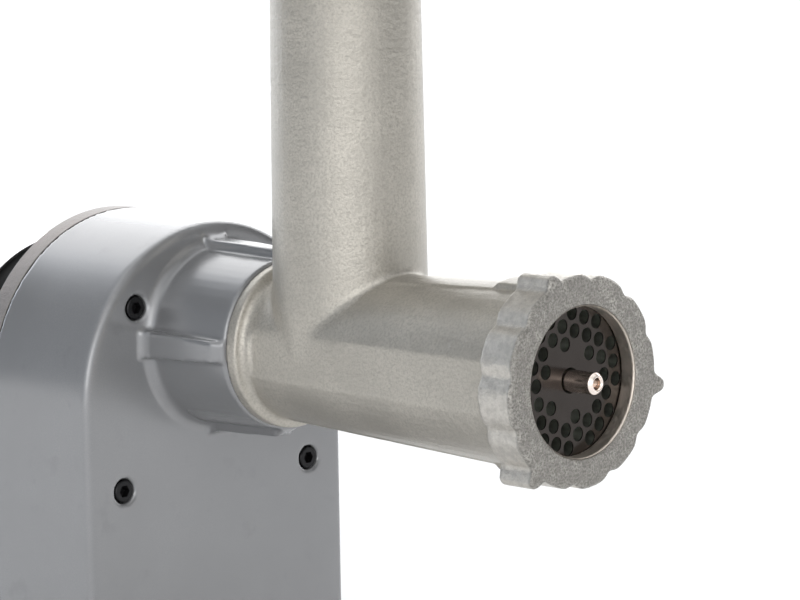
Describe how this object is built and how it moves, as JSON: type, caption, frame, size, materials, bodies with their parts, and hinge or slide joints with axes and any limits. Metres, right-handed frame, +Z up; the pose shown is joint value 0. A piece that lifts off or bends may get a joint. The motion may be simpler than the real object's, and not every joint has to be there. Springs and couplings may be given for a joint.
{
  "type": "electric meat grinder",
  "caption": "Electric meat grinder: cast head with feed tube, perforated plate and lobed ring nut, on an arch-topped gearbox with a round motor behind and a low base.",
  "frame": {"origin": "middle of the object's footprint, at the height of the surface it stands on", "axes": "+Z up, -Y towards the outlet, +Y towards the motor, X across"},
  "size_m": [0.26, 0.5182, 0.4196],
  "materials": {
    "tinned_cast_iron": "tinned sand casting, satin",
    "ring_casting": "tinned sand casting, coarse grain",
    "plate_steel": "ground and polished, dark reflections",
    "polished_steel": "polished",
    "tool_steel": "ground",
    "silver_paint": "satin silver lacquer on aluminium casting",
    "rear_plate_casting": "fine blasted casting",
    "dark_gasket": "matt",
    "black_oxide": "black oxide",
    "black_enamel": "gloss black enamel",
    "stainless_shell": "polished stainless sheet",
    "tray_stainless": "brushed stainless sheet",
    "white_plastic": "food-grade polyethylene",
    "black_plastic": "moulded",
    "green_plastic": "moulded",
    "red_plastic": "moulded",
    "grey_plastic": "moulded",
    "foot_rubber": "matt moulded rubber",
    "zinc_steel": "zinc plated",
    "bronze": "sintered bronze",
    "gear_steel": "machined, oiled",
    "bearing_steel": "ground bearing steel",
    "motor_iron": "stacked electrical sheet",
    "copper_winding": "enamelled copper, laced",
    "end_bell_casting": "die casting"
  },
  "bodies": {
    "frame": {"gear_housing": "silver_paint", "gearbox_gasket": "dark_gasket", "rear_plate": "rear_plate_casting", "housing_screws": "black_oxide", "shaft_seal": "dark_gasket", "output_bearing_outers": "bearing_steel", "output_bearing_balls": "bearing_steel", "intermediate_bushes": "bronze", "motor_flange": "black_enamel", "flange_screws": "black_oxide", "motor_seal": "dark_gasket", "motor_shell": "stainless_shell", "stator_core": "motor_iron", "stator_windings": "copper_winding", "motor_bearing_outers": "bearing_steel", "motor_bearing_balls": "bearing_steel", "motor_end_bell": "end_bell_casting", "tie_bolts": "zinc_steel", "rear_cover": "black_plastic", "rear_cover_screws": "zinc_steel", "switch_plate": "black_plastic", "switch_body": "black_plastic", "capacitor": "grey_plastic", "terminal_block": "grey_plastic", "cable_gland": "black_plastic", "gland_nut": "black_plastic", "base_plate": "silver_paint", "motor_stand": "silver_paint", "base_screws": "zinc_steel", "rubber_feet": "foot_rubber", "foot_screws": "zinc_steel"},
    "head": {"grinder_body": "tinned_cast_iron", "plate_key": "tool_steel", "auger_bush": "bronze", "thrust_washer": "white_plastic"},
    "feed_screw": {"auger": "tinned_cast_iron", "auger_pin": "polished_steel", "knife": "tool_steel"},
    "plate": {"cutting_plate": "plate_steel"},
    "ring": {"ring_nut": "ring_casting"},
    "tray": {"feed_tray": "tray_stainless"},
    "stomper": {"pusher": "white_plastic"},
    "output": {"output_shaft": "gear_steel", "output_gear": "gear_steel", "output_key": "zinc_steel", "output_circlip": "black_oxide", "output_bearing_inners": "bearing_steel"},
    "intermediate": {"intermediate_shaft": "gear_steel", "intermediate_gear": "gear_steel", "intermediate_key": "zinc_steel"},
    "rotor": {"motor_shaft": "gear_steel", "rotor_core": "motor_iron", "cooling_fan": "black_plastic", "motor_bearing_inners": "bearing_steel"},
    "clamp_pad": {"lock_pad": "bronze"},
    "hand_screw": {"lock_screw": "zinc_steel", "lock_knob": "black_plastic"},
    "start": {"start_button": "green_plastic"},
    "stop": {"stop_button": "red_plastic"}
  },
  "joints": [
    {"name": "motor_spin", "type": "hinge", "parent": "frame", "child": "rotor", "pos_m": [0, -0.02595, 0.146], "axis": [0, 1, 0], "continuous": true},
    {"name": "intermediate_spin", "type": "hinge", "parent": "frame", "child": "intermediate", "pos_m": [0.03538, -0.02595, 0.1381], "axis": [0, 1, 0], "continuous": true},
    {"name": "output_spin", "type": "hinge", "parent": "frame", "child": "output", "pos_m": [0, -0.02595, 0.172], "axis": [0, 1, 0], "continuous": true},
    {"name": "feed_screw_spin", "type": "hinge", "parent": "head", "child": "feed_screw", "pos_m": [0, -0.12595, 0.172], "axis": [0, 1, 0], "continuous": true},
    {"name": "head_pull", "type": "slide", "parent": "frame", "child": "head", "axis": [0, -1, 0], "range_m": [0, 0.06]},
    {"name": "plate_travel", "type": "slide", "parent": "head", "child": "plate", "axis": [0, -1, 0], "range_m": [0, 0.01201]},
    {"name": "ring_turn", "type": "hinge", "parent": "plate", "child": "ring", "pos_m": [0, -0.24195, 0.172], "axis": [0, -1, 0], "range_deg": [0, 1440]},
    {"name": "tray_lift", "type": "slide", "parent": "head", "child": "tray", "axis": [0, 0, 1], "range_m": [0, 0.06]},
    {"name": "pusher_lift", "type": "slide", "parent": "tray", "child": "stomper", "axis": [0, 0, 1], "range_m": [0, 0.12]},
    {"name": "clamp_travel", "type": "slide", "parent": "frame", "child": "clamp_pad", "axis": [1, 0, 0], "range_m": [0, 0.0045]},
    {"name": "hand_screw_turn", "type": "hinge", "parent": "clamp_pad", "child": "hand_screw", "pos_m": [0.05, -0.05995, 0.172], "axis": [1, 0, 0], "range_deg": [0, 1085]},
    {"name": "start_press", "type": "slide", "parent": "frame", "child": "start", "axis": [-1, 0, 0], "range_m": [0, 0.003], "stiffness_N_per_m": 800},
    {"name": "stop_press", "type": "slide", "parent": "frame", "child": "stop", "axis": [-1, 0, 0], "range_m": [0, 0.003], "stiffness_N_per_m": 800}
  ],
  "couplings": [
    {"joint": "intermediate_spin", "follows": "motor_spin", "ratio": -0.26087},
    {"joint": "output_spin", "follows": "motor_spin", "ratio": 0.071146},
    {"joint": "feed_screw_spin", "follows": "motor_spin", "ratio": 0.071146},
    {"joint": "plate_travel", "follows": "ring_turn", "m_per_rad": 0.00047746},
    {"joint": "hand_screw_turn", "follows": "clamp_travel", "rad_per_m": 4188.8}
  ]
}
